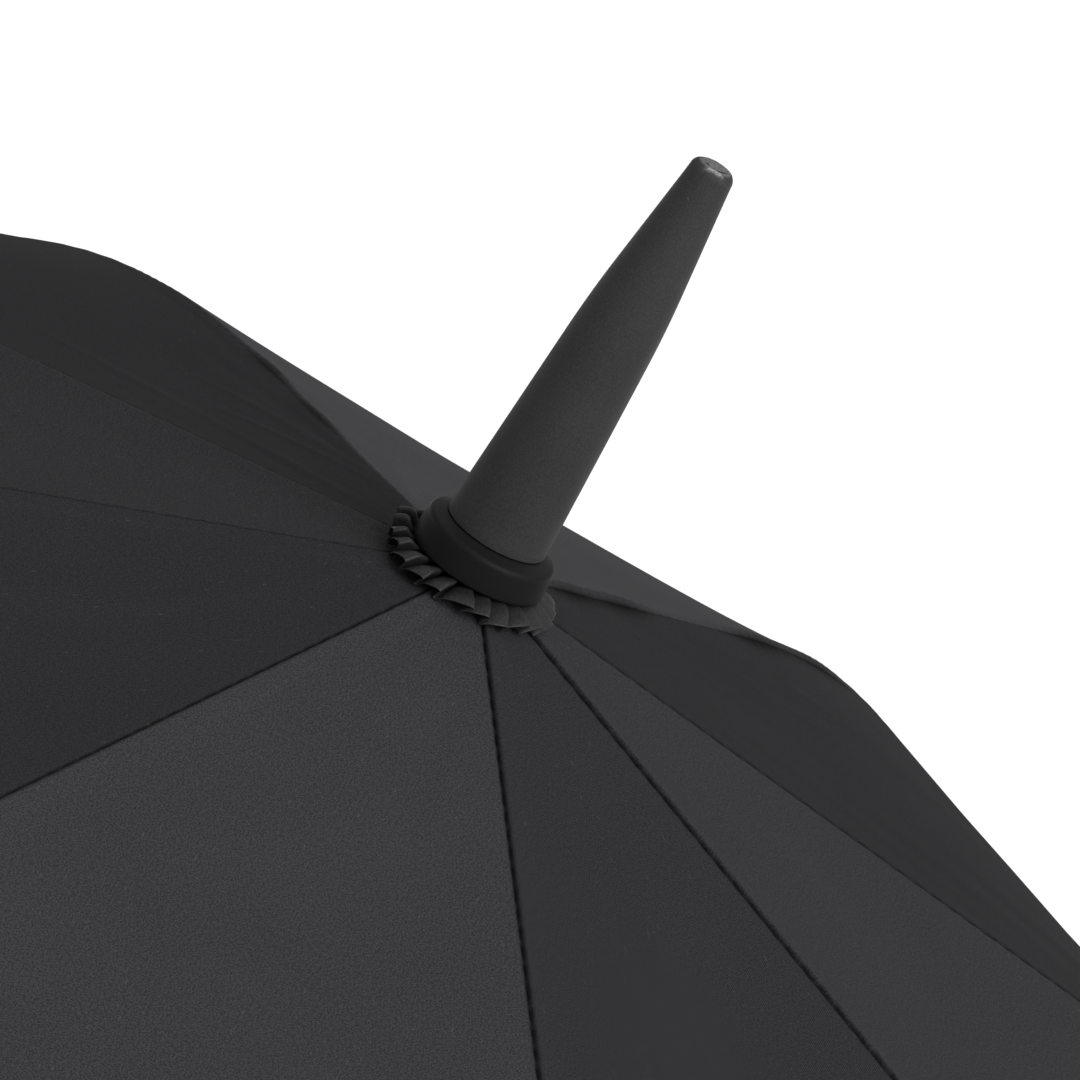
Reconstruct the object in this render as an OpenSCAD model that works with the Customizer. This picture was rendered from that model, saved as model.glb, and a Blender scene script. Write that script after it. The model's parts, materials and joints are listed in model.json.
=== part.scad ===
// Golf umbrella, open, with eight ribs, a sliding runner and a push-button handle.
// Millimetres. +Z runs up the shaft, and the origin is at the bottom of the handle.

/* [Ribs] */
// Length of the straight inner part of a rib
rib_straight = 180; // [175:1:185]
// Length of the curved middle part of a rib
rib_arc = 285; // [275:5:290]
// Length of the straight outer part of a rib
rib_outer = 250; // [235:5:255]
// Slope of the ribs at the hub, in degrees
rib_pitch = 13; // [12:0.5:14]
// Further slope that a rib gains along its curved part, in degrees
rib_bend = 20; // [19:0.5:20.5]
// Diameter of a rib rod
rib_d = 4; // [3.8:0.1:4.1]
// Angle that a rib swings down through when the umbrella closes, in degrees
rib_fold = 65; // [63:0.5:65.5]
// Place along the rib where its stretcher is hinged
clip_s = 330; // [325:1:332]

/* [Canopy] */
// Height of the canopy's apex above the bottom of the handle
apex_z = 892; // [885:1:900]
// Thickness of the canopy's cloth and its coating, as one solid
cloth_t = 1; // [0.8:0.1:1]
// Inward curve of the hem between two rib tips
hem_scallop = 14; // [0:1:20]
// Inward sag of each panel halfway between its ribs
panel_sag = 2.5; // [0:0.5:8]
// Outer diameter of the gathered cloth rosette
rosette_d = 44; // [38:1:46]

/* [Ferrule] */
// Diameter of the ferrule at its base
ferrule_base_d = 25; // [22:0.5:26]
// Diameter where the ferrule's taper turns steeper
ferrule_waist_d = 19.2; // [18:0.2:20]
// Height of that turn above the ferrule's base
ferrule_waist_z = 60; // [54:1:64]
// Diameter of the ferrule's tip
ferrule_tip_d = 10.6; // [9:0.2:11]
// Length of the ferrule
ferrule_len = 100; // [94:1:110]
// Outer diameter of the collar under the ferrule
collar_d = 33; // [31:0.5:34]

/* [Shaft and handle] */
// Outer diameter of the shaft tube
shaft_d = 14; // [14:0.1:14.1]
// Wall of the shaft tube
shaft_wall = 1.1; // [1:0.1:1.2]
// Diameter of the straight grip
grip_d = 32; // [30:0.5:34]
// Length of the grip
grip_len = 128; // [110:1:130]
// Height of the end cap below the grip
cap_h = 14; // [12:1:16]
// Height of the button housing above the grip
housing_h = 36; // [34:1:38]
// Diameter of the push button
button_d = 8; // [7:0.5:8]

/* [Hidden] */
$fn = 96;

ribs = 8;
sector = 360 / ribs;
overlap = 0.01;          // makes cutters pass through a face
fit = 0.05;              // radial gap of a glued or pressed fit
air = 0.4;               // gap beside a piece that moves

// Hub: the ribs hinge on a wire ring of this radius, and the stretchers end on the same radius
hinge_r = 11.5;
eye_r = 2;               // outer radius of a hinge eye
wire_r = 0.9;
wire_eye_r = 0.98;       // eye's hole, running on the wire
blade_t = 1.2;           // thickness of the hinge blades
slot_w = blade_t + 2 * air;
core_r = hinge_r - eye_r - air;
hub_outer_r = 14;

// Rib axis: straight from the hub, an arc, then straight again to the tip
cloth_lift = 3.3;        // from the rib's axis up to the underside of the cloth
axis_off = cloth_lift + cloth_t;
rib_z0 = apex_z - axis_off / cos(rib_pitch) - hinge_r * tan(rib_pitch);
arc_end = rib_straight + rib_arc;
rib_len = arc_end + rib_outer;
end_slope = rib_pitch + rib_bend;
arc_r = rib_arc / (rib_bend * PI / 180);
knee = [hinge_r + rib_straight * cos(rib_pitch), rib_z0 - rib_straight * sin(rib_pitch)];
arc_centre = [knee[0] - arc_r * sin(rib_pitch), knee[1] - arc_r * cos(rib_pitch)];
function rib_slope(s) = rib_pitch + min(rib_arc, max(0, s - rib_straight)) / arc_r * 180 / PI;
function rib_point(s) = s <= rib_straight
    ? [hinge_r + s * cos(rib_pitch), rib_z0 - s * sin(rib_pitch)]
    : arc_centre + arc_r * [sin(rib_slope(s)), cos(rib_slope(s))]
        + max(0, s - arc_end) * [cos(end_slope), -sin(end_slope)];

// Hinges of the linkage: rib to hub, stretcher to rib, stretcher to runner
eye_drop = 2.2;          // hub hinge straight below the start of the rib's axis
clip_drop = 5.6;         // stretcher hinge below the rib's axis
hub_hinge = [hinge_r, rib_z0 - eye_drop];
clip_hinge = rib_point(clip_s) - clip_drop * [sin(rib_slope(clip_s)), cos(rib_slope(clip_s))];
arm = clip_hinge - hub_hinge;
stretcher_len = norm(arm);
arm_slope = atan2(-arm[1], arm[0]);
runner_z = hub_hinge[1] + 2 * arm[1];
runner_closed_z = hub_hinge[1] - 2 * stretcher_len * sin(arm_slope + rib_fold);
travel = runner_z - runner_closed_z;

// Canopy surface: z of the cloth's outer face above a rib, by radius
cover_start = 9;
cover_knee = knee[0] + axis_off * sin(rib_pitch);
cover_turn = arc_centre + (arc_r + axis_off) * [sin(end_slope), cos(end_slope)];
cover_end = rib_point(rib_len)[0] + axis_off * sin(end_slope) - 2;
function cover_z(r) = r <= cover_knee
    ? apex_z - r * tan(rib_pitch)
    : r <= cover_turn[0]
        ? arc_centre[1] + sqrt(pow(arc_r + axis_off, 2) - pow(r - arc_centre[0], 2))
        : cover_turn[1] - (r - cover_turn[0]) * tan(end_slope);
// A point of the panel: f is the share of the way to the next rib, on the straight line between
// the two, and sag is deepest in the middle of the panel
function panel_point(r, f, side, lift) =
    let(bow = 4 * f * (1 - f), along = (r - cover_start) / (cover_end - cover_start))
    [
        r * (1 - f + f * cos(sector)),
        side * r * f * sin(sector),
        cover_z(r) + lift - panel_sag * bow * sin(180 * along)
    ];

// Hub block above and below the hinge wire, its neck, and the rivet through the neck
notch_up = 3;
notch_down = 4;
neck_h = 11;
rivet_r = 1.4;
rivet_z = hub_hinge[1] - notch_down - neck_h / 2;

// Heights of the parts on the shaft
collar_z = apex_z + 0.7;
collar_h = 9;
ferrule_z = collar_z + collar_h + 0.2;
ferrule_bore = 60;
tube_z = cap_h + 10;
shaft_r = shaft_d / 2;
bore_r = shaft_r - shaft_wall;
grip_z = cap_h;
housing_z = grip_z + grip_len;
housing_top = housing_z + housing_h;
handle_core_r = 9;
core_z = cap_h - 6;
core_h = grip_len + 14;

// Runner: a sleeve with a slotted crown at its top and a nose that enters the handle
slide_gap = 0.08;
sleeve_r = 8.1;
crown_h = 8;
crown_r = 13.5;
nose_depth = 12;
nose_h = 16;
sleeve_bottom = runner_z - (runner_closed_z - housing_top + nose_depth);
sleeve_top = runner_z + 10;
grip_ring_z = runner_z - 45;
grip_ring_h = 20;
key_r = 1.3;
key_z = runner_z - 16;
key_slot_w = 2 * key_r + 2 * air;
key_turn = sector / 2;
follower_h = 16;
spring_z = tube_z + 14;
stop_h = 5;

// Catch: a plate with an off-centre hole, pushed sideways by the button
catch_depth = 8;
catch_z = housing_top - catch_depth;
catch_t = 1.6;
catch_hole_r = 10.575;
catch_shift = 1.925;
catch_rim = 2.8;
cavity_r = 15.8;
cavity_h = 9;
housing_r = 18;
button_travel = 3;
tongue_w = 5;
tongue_y = 17.5;
groove_r = 8.3;

// A flat outline in the plane of a rib, given as [radius, height], made t thick
module blade(t)
    rotate([90, 0, 0])
        translate([0, 0, -t / 2])
            linear_extrude(t)
                children();

// Puts a piece on rib i, with X outwards
module at_rib(i)
    rotate(sector * (i - 1))
        children();

// Puts a piece on the rib's axis, with X along the rib and Z away from the shaft side
module along_rib(s)
    translate([rib_point(s)[0], 0, rib_point(s)[1]])
        rotate([0, rib_slope(s), 0])
            children();

module rod_x(r, length)
    rotate([0, 90, 0])
        cylinder(r = r, h = length);

// Radial slots that hold the hinge blades
module blade_slots(z, h)
    for (i = [1 : ribs])
        at_rib(i)
            translate([core_r, -slot_w / 2, z])
                cube([2 * hub_outer_r, slot_w, h]);

module tube(outer, inner, z, h)
    translate([0, 0, z])
        difference() {
            cylinder(r = outer, h = h);
            translate([0, 0, -overlap])
                cylinder(r = inner, h = h + 2 * overlap);
        }

// Round bar or pin through the shaft, at the height z and turned to lie between two ribs
module cross_bar(r, half_length, z)
    translate([0, 0, z])
        rotate(key_turn)
            translate([-half_length, 0, 0])
                rod_x(r, 2 * half_length);

// A closed sheet between a top and a bottom grid of points, with rows outwards
module sheet_solid(top, bottom, rows, cols) {
    n = rows * cols;
    function at(i, j) = i * cols + j;
    function quad(a, b, c, d) = [[a, b, c], [a, c, d]];
    upper = [
        for (i = [0 : rows - 2], j = [0 : cols - 2])
            each quad(at(i, j), at(i, j + 1), at(i + 1, j + 1), at(i + 1, j))
    ];
    lower = [for (f = upper) [f[2] + n, f[1] + n, f[0] + n]];
    ends = [
        for (j = [0 : cols - 2])
            each concat(
                quad(at(0, j + 1), at(0, j), at(0, j) + n, at(0, j + 1) + n),
                quad(at(rows - 1, j), at(rows - 1, j + 1), at(rows - 1, j + 1) + n, at(rows - 1, j) + n)
            )
    ];
    sides = [
        for (i = [0 : rows - 2])
            each concat(
                quad(at(i, 0), at(i + 1, 0), at(i + 1, 0) + n, at(i, 0) + n),
                quad(at(i + 1, cols - 1), at(i, cols - 1), at(i, cols - 1) + n, at(i + 1, cols - 1) + n)
            )
    ];
    polyhedron(points = concat(top, bottom), faces = concat(upper, lower, ends, sides), convexity = 4);
}

// A coil spring round Z from z = 0 to z = h, with a round wire of few sides
module coil(coil_r, wire, h, turns, steps, wire_sides) {
    rings = turns * steps;
    points = [
        for (k = [0 : rings], q = [0 : wire_sides - 1])
            let(
                a = 360 * k / steps,
                b = 360 * q / wire_sides,
                r = coil_r + wire * cos(b),
                z = wire + (h - 2 * wire) * k / rings + wire * sin(b)
            )
            [r * cos(a), r * sin(a), z]
    ];
    skin = [
        for (k = [0 : rings - 1], q = [0 : wire_sides - 1])
            let(
                p = k * wire_sides + q,
                s = k * wire_sides + (q + 1) % wire_sides
            )
            each [[p, s, s + wire_sides], [p, s + wire_sides, p + wire_sides]]
    ];
    first = [for (q = [wire_sides - 1 : -1 : 0]) q];
    last = [for (q = [0 : wire_sides - 1]) rings * wire_sides + q];
    polyhedron(points = points, faces = concat(skin, [first, last]), convexity = 10);
}

module shaft_tube() {
    tube_h = ferrule_z + ferrule_bore - 1 - tube_z;
    slot_end = key_r + air;
    slot_low = runner_closed_z + key_z - runner_z - slot_end;
    color("#2b2b2c")
        difference() {
            tube(shaft_r, bore_r, tube_z, tube_h);
            rotate(key_turn)
                translate([-shaft_d, -key_slot_w / 2, slot_low])
                    cube([2 * shaft_d, key_slot_w, travel + 2 * slot_end]);
            cross_bar(rivet_r + fit, shaft_d, rivet_z);
        }
}

// Profile of the ferrule: two tapers that blend into each other, and a rounded tip
module ferrule() {
    tip_round = 2.6;
    blend = 16;
    base = [ferrule_base_d / 2, 0];
    waist = [ferrule_waist_d / 2, ferrule_waist_z];
    tip = [ferrule_tip_d / 2, ferrule_len - tip_round];
    before = waist + (base - waist) * blend / ferrule_waist_z;
    after = waist + (tip - waist) * blend / (ferrule_len - ferrule_waist_z);
    turn = [
        for (t = [0 : 0.2 : 1])
            (1 - t) * (1 - t) * before + 2 * t * (1 - t) * waist + t * t * after
    ];
    crown = [
        for (a = [0 : 15 : 90])
            [tip[0] - tip_round * (1 - cos(a)), tip[1] + tip_round * sin(a)]
    ];
    color("#2f2f2c")
        translate([0, 0, ferrule_z])
            difference() {
                rotate_extrude()
                    polygon(concat([[0, 0], base], turn, crown, [[0, ferrule_len]]));
                translate([0, 0, -overlap])
                    cylinder(r = shaft_r + fit, h = ferrule_bore);
            }
}

module ferrule_collar() {
    bottom = [collar_d / 2, 0.6];
    wall_top = [collar_d / 2 - 0.6, 5];
    turn = [collar_d / 2 - 1.9, 7.9];
    rim = [ferrule_base_d / 2 + 0.5, collar_h];
    shoulder = [
        for (t = [0 : 0.125 : 1])
            (1 - t) * (1 - t) * wall_top + 2 * t * (1 - t) * turn + t * t * rim
    ];
    color("#1c1c1d")
        translate([0, 0, collar_z])
            rotate_extrude()
                polygon(concat(
                    [[shaft_r + fit, 0], [bottom[0] - 0.6, 0], bottom],
                    shoulder,
                    [[shaft_r + fit, collar_h]]
                ));
}

// Underside of the rosette, which lies just above the canopy
function rosette_low(r) = apex_z - r * tan(rib_pitch) + 0.5;

// Gathered ring of cloth between the canopy and the collar
module rosette() {
    outer = rosette_d / 2;
    color("#232324")
        rotate_extrude()
            polygon([
                [shaft_r + fit, rosette_low(shaft_r)],
                [outer, rosette_low(outer)],
                [outer, rosette_low(outer) + 2.5],
                [outer - 2, apex_z - 0.8],
                [collar_d / 2, apex_z + 0.4],
                [shaft_r + fit, apex_z + 0.4]
            ]);
}

// Hub that the ribs hinge in
module notch() {
    low = hub_hinge[1] - notch_down;
    color("#1a1a1b")
        difference() {
            union() {
                tube(hub_outer_r, shaft_r + fit, low, notch_up + notch_down);
                tube(core_r, shaft_r + fit, low - neck_h, neck_h + 1);
            }
            blade_slots(low - overlap, notch_up + notch_down + 1);
            translate([0, 0, hub_hinge[1]])
                rotate_extrude()
                    translate([hinge_r, 0])
                        circle(r = wire_r + fit, $fn = 32);
            cross_bar(rivet_r + fit, hub_outer_r, rivet_z);
        }
}

module notch_wire()
    color("silver")
        translate([0, 0, hub_hinge[1]])
            rotate_extrude()
                translate([hinge_r, 0])
                    circle(r = wire_r, $fn = 32);

module notch_rivet()
    color("silver") {
        cross_bar(rivet_r, core_r, rivet_z);
        for (side = [0, 180])
            rotate(side)
                translate([0, 0, rivet_z])
                    rotate(key_turn)
                        translate([core_r, 0, 0])
                            rod_x(2.2, 0.6);
    }

// Stops the runner when the umbrella is open
module stop_ring()
    color("#1a1a1b")
        tube(10, shaft_r + fit, sleeve_top + air, stop_h);

// Plug in the shaft that the opening spring stands on
module spring_seat()
    color("silver")
        translate([0, 0, tube_z + 1])
            cylinder(r = bore_r - fit, h = spring_z - tube_z - 1.3);

module opening_spring()
    color("silver")
        translate([0, 0, spring_z])
            coil(4.5, 0.8, key_z - follower_h / 2 - spring_z - 0.3, 36, 10, 5);

module spring_follower()
    color("#1a1a1b")
        difference() {
            translate([0, 0, key_z - follower_h / 2])
                cylinder(r = bore_r - 0.3, h = follower_h);
            cross_bar(key_r + fit, shaft_d, key_z);
        }

module runner_key()
    color("silver")
        cross_bar(key_r, sleeve_r - 0.1, key_z);

module runner_sleeve() {
    inner = shaft_r + slide_gap;
    low = sleeve_bottom;
    groove_low = low + nose_depth - catch_depth - catch_t / 2 - 0.3;
    groove_high = groove_low + catch_t + 0.6;
    color("#1a1a1b")
        difference() {
            rotate_extrude()
                polygon([
                    [inner, low],
                    [core_r - 0.6, low],
                    [core_r, low + 0.6],
                    [core_r, groove_low],
                    [groove_r, groove_low],
                    [groove_r, groove_high],
                    [core_r, groove_high],
                    [core_r, low + nose_h],
                    [sleeve_r, low + nose_h + 1],
                    [sleeve_r, sleeve_top],
                    [inner, sleeve_top]
                ]);
            cross_bar(key_r + fit, shaft_d, key_z);
        }
}

// Slotted ring that the stretchers' inner ends turn in. Its slots are open above and below
module runner_crown() {
    low = runner_z - crown_h / 2;
    color("#1a1a1b")
        difference() {
            tube(crown_r, sleeve_r, low, crown_h);
            blade_slots(low - overlap, crown_h + 1);
        }
}

module runner_grip() {
    round = 2;
    outer = crown_r - 0.5;
    edge = [
        for (a = [0 : 30 : 90])
            [outer - round + round * sin(a), round - round * cos(a)]
    ];
    upper = [for (k = [len(edge) - 1 : -1 : 0]) [edge[k][0], grip_ring_h - edge[k][1]]];
    color("#141414")
        difference() {
            translate([0, 0, grip_ring_z])
                rotate_extrude()
                    polygon(concat([[sleeve_r, 0]], edge, upper, [[sleeve_r, grip_ring_h]]));
            blade_slots(grip_ring_z - overlap, grip_ring_h + 1);
        }
}

module handle_core()
    color("#1a1a1b")
        tube(handle_core_r, shaft_r + fit, core_z, core_h);

module handle_grip() {
    round = 1.5;
    r = grip_d / 2;
    edge = [
        for (a = [0 : 30 : 90])
            [r - round + round * sin(a), round - round * cos(a)]
    ];
    upper = [for (k = [len(edge) - 1 : -1 : 0]) [edge[k][0], grip_len - edge[k][1]]];
    color("#151515")
        translate([0, 0, grip_z])
            rotate_extrude()
                polygon(concat([[handle_core_r + fit, 0]], edge, upper, [[handle_core_r + fit, grip_len]]));
}

module end_cap() {
    r = grip_d / 2 - 0.3;
    dome = [
        for (a = [0 : 10 : 90])
            [r - 6 + 6 * sin(a), 6 - 6 * cos(a)]
    ];
    color("#1a1a1b")
        rotate_extrude()
            polygon(concat(
                [[0, 0]],
                dome,
                [
                    [r, cap_h - 0.2],
                    [handle_core_r + fit, cap_h - 0.2],
                    [handle_core_r + fit, core_z - 0.2],
                    [shaft_r - fit, core_z - 0.2],
                    [shaft_r - fit, tube_z - 1],
                    [0, tube_z - 1]
                ]
            ));
}

module button_housing() {
    low = housing_z + 0.2;
    neck = grip_d / 2 + 0.3;
    core_top = core_z + core_h + 0.2;
    cavity_z = catch_z - cavity_h / 2;
    mouth_r = core_r + air;
    color("#1a1a1b")
        difference() {
            rotate_extrude()
                polygon([
                    [shaft_r + fit, low],
                    [neck - 1, low],
                    [neck, low + 1],
                    [housing_r, low + 10],
                    [housing_r, housing_top - 4],
                    [housing_r - 1.2, housing_top - 1.2],
                    [housing_r - 4, housing_top],
                    [shaft_r + fit, housing_top]
                ]);
            translate([0, 0, low - 1])
                cylinder(r = handle_core_r + fit, h = core_top - low + 1);
            translate([0, 0, cavity_z])
                cylinder(r = cavity_r, h = cavity_h);
            translate([0, 0, cavity_z])
                cylinder(r = mouth_r, h = housing_top);
            translate([0, 0, catch_z])
                rotate([90, 0, 0])
                    cylinder(r = button_d / 2 + air, h = 2 * housing_r);
        }
}

module catch_plate()
    color("silver")
        translate([0, 0, catch_z - catch_t / 2])
            difference() {
                union() {
                    translate([0, -catch_shift])
                        cylinder(r = catch_hole_r + catch_rim, h = catch_t);
                    translate([-tongue_w / 2, -tongue_y, 0])
                        cube([tongue_w, tongue_y - catch_hole_r - 1, catch_t]);
                }
                translate([0, -catch_shift, -overlap])
                    cylinder(r = catch_hole_r, h = catch_t + 2 * overlap);
            }

module push_button() {
    inner_y = catch_shift + catch_hole_r + catch_rim + 0.05;
    outer_y = housing_r + button_travel + 0.5;
    r = button_d / 2;
    color("#8a1f1f")
        difference() {
            translate([0, -outer_y, catch_z])
                rotate([-90, 0, 0])
                    rotate_extrude()
                        polygon([
                            [0, 0], [r - 0.9, 0], [r - 0.3, 0.3], [r, 0.9],
                            [r, outer_y - inner_y], [0, outer_y - inner_y]
                        ]);
            translate([-tongue_w / 2, -tongue_y, catch_z - catch_t / 2])
                cube([tongue_w, tongue_y, catch_t]);
        }
}

module button_spring() {
    start = catch_hole_r + catch_rim - catch_shift + 0.1;
    color("silver")
        translate([0, start, catch_z])
            rotate([-90, 0, 0])
                coil(1.6, 0.25, cavity_r - start - 0.2, 4, 10, 5);
}

// Fibreglass rod of one rib, with short sleeves at both ends of its bend that the cloth is tied to
module rib(i) {
    start = 8;
    sleeve_l = 6;
    color("#303032")
        at_rib(i) {
            for (s = [rib_straight, arc_end])
                along_rib(s)
                    translate([-sleeve_l / 2, 0, 0])
                        rod_x(rib_d / 2 + 0.5, sleeve_l);
            along_rib(start)
                rod_x(rib_d / 2, rib_straight - start);
            along_rib(arc_end)
                rod_x(rib_d / 2, rib_outer);
            translate([arc_centre[0], 0, arc_centre[1]])
                rotate([90, 0, 0])
                    rotate([0, 0, 90 - end_slope])
                        rotate_extrude(angle = rib_bend, $fn = 960)
                            translate([arc_r, 0])
                                circle(r = rib_d / 2, $fn = 32);
        }
}

// The rib's hinge eye, the clip for its stretcher and its tip, as separate pieces
module rib_fittings(i)
    color("#1a1a1b")
        at_rib(i) {
            rib_eye();
            rib_clip();
            rib_tip();
        }

module rib_eye() {
    socket_s = 6;
    socket_l = 18;
    socket_r = 2.8;
    eye = eye_drop * [sin(rib_pitch), -cos(rib_pitch)];
    along_rib(0)
        difference() {
            union() {
                blade(blade_t) {
                    translate(eye)
                        circle(r = eye_r, $fn = 32);
                    translate([eye[0], eye[1] - eye_r])
                        square([socket_s + 1 - eye[0], 2 * eye_r]);
                }
                translate([socket_s, 0, 0])
                    rod_x(socket_r, socket_l);
            }
            translate([socket_s + 2 - overlap, 0, 0])
                rod_x(rib_d / 2 + fit / 2, socket_l);
            translate([eye[0], 0, eye[1]])
                rotate([90, 0, 0])
                    cylinder(r = wire_eye_r, h = 4, center = true, $fn = 32);
        }
}

module rib_clip() {
    half = 6;
    cheek_t = 0.9;
    cheek_r = 2.4;
    pin_r = 1;
    along_rib(clip_s) {
        difference() {
            union() {
                translate([-half, 0, 0])
                    rod_x(3, 2 * half);
                for (side = [-1, 1])
                    translate([0, side * (slot_w + cheek_t) / 2, 0])
                        blade(cheek_t) {
                            translate([0, -clip_drop])
                                circle(r = cheek_r, $fn = 32);
                            translate([-cheek_r, -clip_drop])
                                square([2 * cheek_r, clip_drop - 1]);
                        }
            }
            translate([-half - overlap, 0, 0])
                rod_x(rib_d / 2 + fit, 2 * half + 1);
        }
        translate([0, 0, -clip_drop])
            rotate([90, 0, 0])
                cylinder(r = pin_r, h = slot_w + 2 * cheek_t + 0.8, center = true, $fn = 32);
    }
}

module rib_tip() {
    grip_l = 14;
    r = 3;
    along_rib(rib_len)
        difference() {
            rotate([0, 90, 0])
                rotate_extrude()
                    polygon(concat(
                        [[0, -grip_l], [2.5, -grip_l], [r, -grip_l + 1]],
                        [for (a = [0 : 15 : 90]) [r * cos(a), 1 + r * sin(a)]]
                    ));
            translate([-grip_l - overlap, 0, 0])
                rod_x(rib_d / 2 + fit, grip_l + 0.1);
        }
}

// Channel-section strut from the runner out to the rib
module stretcher(i) {
    inner_blade = 27;
    outer_blade = 12;
    depth = 3.4;
    width = 4.2;
    wall = 0.8;
    hole_r = 1.08;
    color("#9a9a9c")
        at_rib(i)
            translate([hinge_r, 0, runner_z])
                rotate([0, -arm_slope, 0])
                    difference() {
                        union() {
                            blade(blade_t) {
                                for (x = [0, stretcher_len])
                                    translate([x, 0])
                                        circle(r = eye_r, $fn = 32);
                                translate([0, -eye_r])
                                    square([inner_blade + 1, 2 * eye_r]);
                                translate([stretcher_len - outer_blade - 1, -eye_r])
                                    square([outer_blade + 1, 2 * eye_r]);
                            }
                            translate([inner_blade, -width / 2, -depth / 2])
                                cube([stretcher_len - inner_blade - outer_blade, width, depth]);
                        }
                        translate([inner_blade + 3, wall - width / 2, -depth / 2 - 1])
                            cube([
                                stretcher_len - inner_blade - outer_blade - 6,
                                width - 2 * wall,
                                depth + 1 - wall
                            ]);
                        for (x = [0, stretcher_len])
                            translate([x, 0, 0])
                                rotate([90, 0, 0])
                                    cylinder(r = hole_r, h = 4, center = true, $fn = 32);
                    }
}

// The cloth from one rib to halfway along the panels on both sides of it
module canopy(i) {
    rows = 15;
    half_cols = 4;
    cols = 2 * half_cols + 1;
    seam_gap = 0.3;
    tones = ["#2a2a2b", "#38383a"];
    function grid(lift) = [
        for (row = [0 : rows - 1], k = [-half_cols : half_cols])
            let(
                share = abs(k) / half_cols,
                hem = cover_end - hem_scallop * share * (2 - share),
                r = cover_start + (hem - cover_start) * row / (rows - 1),
                edge_f = 0.5 - seam_gap / (2 * r * sin(sector / 2))
            )
            panel_point(r, edge_f * share, sign(k), lift)
    ];
    color(tones[i % 2])
        at_rib(i)
            sheet_solid(grid(0), grid(-cloth_t), rows, cols);
}

// Short cloth strap sewn beside a seam, halfway out
module tie_strap() {
    rib_number = 7;
    from_r = 385;
    to_r = 500;
    near = 2.5;
    far = 17.5;
    rows = 9;
    function grid(lift) = [
        for (row = [0 : rows - 1], y = [near, far])
            let(r = from_r + (to_r - from_r) * row / (rows - 1))
            panel_point(r, y / (r * sin(sector)), 1, lift)
    ];
    color("#1f1f20")
        at_rib(rib_number)
            sheet_solid(grid(1.7), grid(0.5), rows, 2);
}

shaft_tube();
ferrule();
ferrule_collar();
rosette();
notch();
notch_wire();
notch_rivet();
stop_ring();
spring_seat();
opening_spring();
handle_core();
handle_grip();
end_cap();
button_housing();
button_spring();
push_button();
catch_plate();
runner_sleeve();
runner_crown();
runner_grip();
runner_key();
spring_follower();
for (i = [1 : ribs]) {
    rib(i);
    rib_fittings(i);
    stretcher(i);
    canopy(i);
}
tie_strap();
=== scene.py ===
import json
import math
from math import cos, pi, radians, sin, tan

import bpy
import numpy as np
from mathutils import Matrix, Vector


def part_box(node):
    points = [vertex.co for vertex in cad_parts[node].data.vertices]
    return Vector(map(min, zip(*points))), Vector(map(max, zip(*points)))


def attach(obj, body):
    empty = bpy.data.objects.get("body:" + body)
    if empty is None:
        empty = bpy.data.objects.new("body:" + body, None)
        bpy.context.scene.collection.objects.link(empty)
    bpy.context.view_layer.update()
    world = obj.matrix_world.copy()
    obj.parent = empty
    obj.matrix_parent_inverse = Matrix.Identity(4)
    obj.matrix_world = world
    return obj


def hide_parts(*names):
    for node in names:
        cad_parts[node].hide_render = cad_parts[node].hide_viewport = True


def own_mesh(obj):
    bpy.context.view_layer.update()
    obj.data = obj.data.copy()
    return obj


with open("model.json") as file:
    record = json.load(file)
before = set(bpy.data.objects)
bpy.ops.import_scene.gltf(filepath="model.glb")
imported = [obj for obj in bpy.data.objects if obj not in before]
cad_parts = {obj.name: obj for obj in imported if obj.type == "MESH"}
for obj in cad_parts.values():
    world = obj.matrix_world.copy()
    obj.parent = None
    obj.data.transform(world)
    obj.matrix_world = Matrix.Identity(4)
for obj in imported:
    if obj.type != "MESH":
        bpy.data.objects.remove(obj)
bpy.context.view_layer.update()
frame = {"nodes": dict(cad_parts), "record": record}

MM = 0.001
scene = bpy.context.scene

# ---------------------------------------------------------------- camera and light

VIEW_AZIMUTH = radians(245.2)    # the side of the umbrella that the camera is on, from +X
VIEW_ELEVATION = radians(19.6)
VIEW_ROLL = radians(31.1)        # the umbrella leans to the right in the picture
VIEW_DISTANCE = 1.61
HUB_HEIGHT = 0.8939
HUB_LEFT = 0.0136                # how far the hub lies left of the picture's middle, and below it
HUB_BELOW = 0.0044
LENS = 237.5                     # focal length in mm
SURROUND = 0.38                  # strength of the even light from all round
KEY_AZIMUTH = VIEW_AZIMUTH + radians(47)
KEY_HEIGHT = 0.84                # tangent of its elevation


def add_camera():
    back = Vector((
        cos(VIEW_ELEVATION) * cos(VIEW_AZIMUTH),
        cos(VIEW_ELEVATION) * sin(VIEW_AZIMUTH),
        sin(VIEW_ELEVATION),
    ))
    level_right = Vector((0, 0, 1)).cross(back).normalized()
    level_up = back.cross(level_right)
    right = cos(VIEW_ROLL) * level_right + sin(VIEW_ROLL) * level_up
    up = back.cross(right)
    hub = Vector((0, 0, HUB_HEIGHT))
    place = hub + VIEW_DISTANCE * back + HUB_LEFT * right + HUB_BELOW * up
    data = bpy.data.cameras.new("camera")
    data.lens = LENS
    data.clip_end = 100
    camera = bpy.data.objects.new("camera", data)
    camera.matrix_world = Matrix((
        (right.x, up.x, back.x, place.x),
        (right.y, up.y, back.y, place.y),
        (right.z, up.z, back.z, place.z),
        (0, 0, 0, 1),
    ))
    scene.collection.objects.link(camera)
    scene.camera = camera


def add_sun(name, direction, strength, softness):
    """Light from that direction. softness is the angle in degrees that its source takes up."""
    data = bpy.data.lights.new(name, "SUN")
    data.energy = strength
    data.angle = radians(softness)
    lamp = bpy.data.objects.new(name, data)
    lamp.rotation_euler = (-direction).to_track_quat("-Z", "Y").to_euler()
    scene.collection.objects.link(lamp)


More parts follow.
